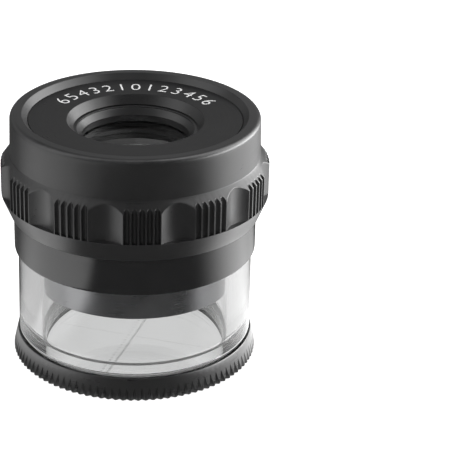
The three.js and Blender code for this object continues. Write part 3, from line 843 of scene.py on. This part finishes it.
for share in (0.25, 0.6):
    height = run_out + (cone_top - 0.25 - run_out) * share
    rows.append(grip_row(grip_radius - (height - grip_top) * cone_slope, height))
cap_outline = rounded([
    (cone_top_radius + 0.16, cone_top - 0.24, 0), (cone_top_radius, cone_top, 0.12), (22.45, cap_top, 1.2),
    (20.3, cap_top, 0.1), (19.3, 45.3, 0.06), (19.3, 42.7, 0), (18.7, 42.7, 0), (18.7, 41.5, 0),
    (17.2, 41.5, 0), (17.2, 40.3, 0), (cap_bore_radius, 40.3, 0),
    *ladder(cap_bore_radius, 37.9, 34.2, 0.19), (cap_bore_radius, 33.8, 0), (22.4, 33.8, 0),
    (22.4, 27.75, 0.1)], steps=7, closed=False)
rows += [grip_row(*point) for point in cap_outline[:-1]]
focus_ring = skin("ribbed_focus_ring", rows, grip_angles, full_turn=False)
repeat_round(focus_ring, pad_count, cap_black)
focus_ring.data.transform(Matrix.Rotation(front_pad_turn, 4, "Z"))
cut_thread(focus_ring, cap_bore_radius, 0.3, focus_pitch, focus_starts, 34.2, 38.0, inwards=False)
smooth(focus_ring, crease=26)
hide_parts("focus_ring")
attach(focus_ring, "focus_head")


# Face plate
# The dished ring round the eye opening, pressed into the cap. Its focusing scale of plain numbers is
# engraved and filled with white. The mouth below its inner edge is a little glossier.

face_low = 45.1
face_high = 45.3
face_inner = 12.35
face_outer = 19.2
mouth_foot = 43.3
face_plate = skin("dished_face_plate", rounded([
    (11.3, 42.45, 0.06), (18.5, 42.45, 0.05), (18.5, 42.7, 0.05), (face_outer, 42.7, 0.08),
    (face_outer, face_high, 0.06), (face_inner, face_low, 0.12), (11.1, 43.55, 0.04), (11.3, 43.4, 0.04)],
    steps=5), metal_sides)
face_black = black_anodised("face_black", shade=0.012, roughness=0.32, gloss=0.35, marks=0.7)
mouth_black = black_anodised("mouth_black", shade=0.014, roughness=0.3, gloss=0.85, marks=0.5)
face_plate.data.materials.append(face_black)
face_plate.data.materials.append(mouth_black)
for wall in face_plate.data.polygons:
    across = math.hypot(wall.center.x, wall.center.y) * 1000
    if across < face_inner - 0.03 and wall.center.z * 1000 > mouth_foot:
        wall.material_index = 1
smooth(face_plate)
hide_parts("face_plate")
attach(face_plate, "focus_head")

number_radius = 15.7
number_height = 2.8
number_step = 9.7
shells = []
for place in range(-6, 7):
    points, faces = numeral_shell(str(abs(place)), number_height, 0.03)
    points = points + np.array((0, number_radius, 0))
    points, faces = turned_shell((points, faces), -math.radians(place * number_step))
    distance = np.hypot(points[:, 0], points[:, 1])
    share = (distance - face_inner) / (face_outer - face_inner)
    points[:, 2] += face_low + (face_high - face_low) * share
    shells.append((points, faces))
face_numbers = joined_piece("engraved_focus_numbers", shells)
face_numbers.data.materials.append(line_filling("number_filling_white", 0.85, 0.55))
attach(face_numbers, "focus_head")


# Table, light and camera
# A white table, with a broad soft lamp on each side and one overhead. The glossy black walls mirror the
# table, so a sheen that only reflections see gives it bright sides and a darker front.

def band(tree, value, start, stop, high):
    """A soft step from 0 to high as the value goes from start to stop."""
    return node(tree, "ShaderNodeMapRange",
                {"Value": value, "From Min": start, "From Max": stop, "To Max": high},
                interpolation_type="SMOOTHERSTEP").outputs["Result"]


def coordinate(tree, place, axis):
    """One coordinate of a place or direction: 0 is X, 1 is Y and 2 is Z."""
    return node(tree, "ShaderNodeSeparateXYZ", {0: place}).outputs[axis]


def length_of(tree, place):
    """Distance of a place from the foot of the axis."""
    return node(tree, "ShaderNodeVectorMath", {0: place}, operation="LENGTH").outputs["Value"]


def side_glow(tree, direction, on_table):
    """Brightness by the side that a reflection comes from: left, right, and a dimmer front and back.

    The side is in degrees from the front, up to 180 on the right and down to -180 on the left. The
    barrel mirrors the table near the foot. The cap mirrors it further out, where the left glow is softer.
    """
    front = 0.1
    left = 1.1
    right = 2.3
    left_way = (-0.963, 0.271, 0)
    barrel_reach = 0.078
    cap_reach = 0.098
    toward = maths(tree, "MULTIPLY", coordinate(tree, direction, 1), -1)
    degrees = maths(tree, "DEGREES", maths(tree, "ARCTAN2", coordinate(tree, direction, 0), toward))
    if on_table:
        reach = node(tree, "ShaderNodeVectorMath", {0: direction, 1: left_way},
                     operation="DOT_PRODUCT").outputs["Value"]
        far = length_of(tree, direction)
        glow_start = maths(tree, "ADD", band(tree, far, barrel_reach, cap_reach, 0.018), 0.0182)
        softness = maths(tree, "ADD", band(tree, far, barrel_reach, cap_reach, 0.065), 0.012)
        past = maths(tree, "DIVIDE", maths(tree, "SUBTRACT", reach, glow_start), softness)
        left_side = maths(tree, "MULTIPLY", band(tree, degrees, -5, -15, 1.0), band(tree, past, 0, 1, 1.0))
    else:
        left_side = band(tree, degrees, -30, -92, 1.0)
    total = maths(tree, "MULTIPLY_ADD", left_side, left, front)
    if on_table:
        near_dimming = band(tree, far, 0.115, 0.085, -1.0)
        total = maths(tree, "MULTIPLY_ADD", band(tree, degrees, 100, 124, 1.0), near_dimming, total)
    for start, stop, change in ((-86, -132, -1.08), (44, 98, right), (116, 160, -2.2)):
        total = maths(tree, "ADD", band(tree, degrees, start, stop, change), total)
    return maths(tree, "MAXIMUM", total, front)


table_white, tree, table_place = new_finish("table_white")
paper = node(tree, "ShaderNodeTexNoise", {"Scale": 600, "Detail": 3})
paper_colour = grey(tree, spread(tree, paper.outputs[0], 0.79, 0.81))
lit = node(tree, "ShaderNodeBsdfDiffuse", {"Color": paper_colour})
ray = node(tree, "ShaderNodeLightPath").outputs

# Seen through clear glass and plastic, the table is its bright sides in front. From the middle of the glass
# disc backwards it is an even grey, a little dimmer at the left. That grey is painted shade: a fixed glow
# dimmer than the white table stands in for the shade under the loupe, and the dimmer left is painted shade
# too.
painted_shade_level = 0.65
table_level = 0.72
front_glow = side_glow(tree, table_place, on_table=True)
toward_back = coordinate(tree, table_place, 1)
in_front = band(tree, toward_back, -0.012, -0.026, 1.0)
painted_shade_under_glass = maths(tree, "ADD", band(tree, toward_back, -0.003, -0.01, 0.1), painted_shade_level)
# Painted shade: behind the middle, the table seen through the skirt's left side is a little dimmer.
painted_shade_at_left = band(tree, coordinate(tree, table_place, 0), -0.019, -0.024, -0.19)
painted_shade_behind = maths(tree, "MULTIPLY_ADD", painted_shade_at_left, band(tree, toward_back, 0.0, 0.006, 1.0), painted_shade_under_glass)
through = node(tree, "ShaderNodeMix", {"Factor": in_front, 2: painted_shade_behind, 3: front_glow})
seen_through = maths(tree, "MULTIPLY", ray["Is Transmission Ray"], through.outputs[0])
seen_plain = maths(tree, "MULTIPLY", ray["Is Camera Ray"], table_level)
glow = node(tree, "ShaderNodeEmission", {"Strength": maths(tree, "MAXIMUM", seen_through, seen_plain)})
both = node(tree, "ShaderNodeAddShader", {0: lit.outputs[0], 1: glow.outputs[0]})
finish = node(tree, "ShaderNodeMixShader",
              {0: ray["Is Transmission Ray"], 1: both.outputs[0], 2: glow.outputs[0]})
coat(tree, finish)

table_mesh = bpy.data.meshes.new("table")
table_mesh.from_pydata([(-4, -4, 0), (4, -4, 0), (4, 4, 0), (-4, 4, 0)], [], [(0, 1, 2, 3)])
table = bpy.data.objects.new("table", table_mesh)
bpy.context.scene.collection.objects.link(table)
table.data.materials.append(table_white)

# The sheen is brighter far out on the right and dimmer at both sides where the cap mirrors it.
sheen, tree, sheen_place = new_finish("table_sheen")
sheen_distance = length_of(tree, sheen_place)
sheen_side = maths(tree, "DIVIDE", coordinate(tree, sheen_place, 0), sheen_distance)
sheen_beside = maths(tree, "ABSOLUTE", sheen_side)
far_right = maths(tree, "MULTIPLY_ADD", band(tree, sheen_distance, 0.19, 0.4, 3.5),
                  band(tree, sheen_side, 0.5, 0.85, 1.0), 1.0)
far_sheen = maths(tree, "MULTIPLY_ADD", band(tree, sheen_distance, 0.085, 0.125, -0.27),
                  band(tree, sheen_beside, 0.4, 0.75, 1.0), far_right)
sheen_level = maths(tree, "MULTIPLY", side_glow(tree, sheen_place, on_table=True), far_sheen)
coat(tree, node(tree, "ShaderNodeEmission", {"Strength": sheen_level}))
sheen_rim = [(23.0, 0.05, 0), (3800, 0.05, 0)]
sheen_disc = skin("table_sheen", sheen_rim, np.arange(0, 360, 2.0), closed_outline=False)
sheen_disc.data.materials.append(sheen)
sheen_disc.visible_camera = False
sheen_disc.visible_diffuse = False
sheen_disc.visible_transmission = False
sheen_disc.visible_shadow = False

room = bpy.data.worlds.new("studio")
bpy.context.scene.world = room
room.use_nodes = True
tree = room.node_tree
tree.nodes.clear()

# Reflections see the side glows, a grey wall at the back, a bright panel behind at the right and a
# brighter floor on the right. Clear solids see a plain wall, and the camera sees white.
looking = node(tree, "ShaderNodeTexCoord").outputs["Generated"]
sideways, behind, rise = (coordinate(tree, looking, axis) for axis in range(3))
wall_height = maths(tree, "ADD", band(tree, rise, 0.1, 0.25, 1.0), band(tree, rise, 0.37, 0.47, -0.68))
wall_back = maths(tree, "MULTIPLY", wall_height, band(tree, behind, 0.2, 0.45, 0.22))
panel_height = maths(tree, "ADD", band(tree, rise, 0.08, 0.2, 1.0), band(tree, rise, 0.6, 0.72, -1.0))
panel_side = maths(tree, "MULTIPLY", band(tree, sideways, 0.45, 0.75, 2.0),
                   band(tree, behind, -0.05, 0.2, 1.0))
panel = maths(tree, "MULTIPLY_ADD", panel_height, panel_side, wall_back)
near_floor = maths(tree, "MULTIPLY_ADD", band(tree, rise, 0.3, 0.1, 3.0),
                   band(tree, sideways, 0.5, 0.85, 1.0), 1.0)
mirrored = maths(tree, "MULTIPLY_ADD", side_glow(tree, looking, on_table=False), near_floor, panel)
left_wall = maths(tree, "ADD", band(tree, sideways, -0.5, 0.3, 0.36), 0.64)
ray = node(tree, "ShaderNodeLightPath").outputs
plain_level = 0.35
backdrop = 1.0
level = plain_level
for kind, brightness in (("Glossy", mirrored), ("Transmission", left_wall), ("Camera", backdrop)):
    level = node(tree, "ShaderNodeMix", {"Factor": ray[f"Is {kind} Ray"], 2: level, 3: brightness}).outputs[0]
air = node(tree, "ShaderNodeBackground", {"Strength": level})
node(tree, "ShaderNodeOutputWorld", {"Surface": air.outputs[0]})


def soft_lamp(name, place, size, power):
    """A square soft lamp that faces the loupe. Reflections don't see it, only the lit surfaces do."""
    light = bpy.data.lights.new(name, "AREA")
    light.shape = "SQUARE"
    light.size = size
    light.energy = power
    lamp = bpy.data.objects.new(name, light)
    bpy.context.scene.collection.objects.link(lamp)
    lamp.location = place
    aim = np.array((0, 0, 0.02)) - np.array(place)
    lamp.rotation_euler = (math.atan2(math.hypot(aim[0], aim[1]), -aim[2]), 0, math.atan2(-aim[0], aim[1]))
    lamp.visible_glossy = False


soft_lamp("lamp_left", (-0.55, -0.15, 0.4), 0.5, 1.6)
soft_lamp("lamp_right", (0.55, -0.05, 0.4), 0.5, 1.6)
soft_lamp("lamp_above", (0, 0.1, 0.75), 0.7, 3.0)

aim_height = 0.02181
pitch = math.radians(25.45)
distance = 0.3352
focal_pixels = 1815
pixels_right = 99.8
pixels_up = 1.7
yaw = math.atan(pixels_right / focal_pixels)
tilt = math.atan(pixels_up / focal_pixels)
roll = math.radians(0.25)
back = np.array((0, -math.cos(pitch), math.sin(pitch)))
ahead = -back
right = np.array((1, 0, 0))
up = np.cross(right, ahead)
turned_ahead = math.cos(yaw) * ahead + math.sin(yaw) * right
turned_right = math.cos(yaw) * right - math.sin(yaw) * ahead
lifted_ahead = math.cos(tilt) * turned_ahead + math.sin(tilt) * up
lifted_up = math.cos(tilt) * up - math.sin(tilt) * turned_ahead
rolled_right = math.cos(roll) * turned_right + math.sin(roll) * lifted_up
rolled_up = math.cos(roll) * lifted_up - math.sin(roll) * turned_right
lens = bpy.data.cameras.new("camera")
lens.lens = 139.02
lens.sensor_width = 36
lens.clip_start = 0.01
camera = bpy.data.objects.new("camera", lens)
bpy.context.scene.collection.objects.link(camera)
stand = np.eye(4)
stand[:3, 0] = rolled_right
stand[:3, 1] = rolled_up
stand[:3, 2] = -lifted_ahead
stand[:3, 3] = np.array((0, 0, aim_height)) + back * distance
camera.matrix_world = Matrix(stand.tolist())
bpy.context.scene.camera = camera
bpy.context.scene.view_settings.view_transform = "Standard"
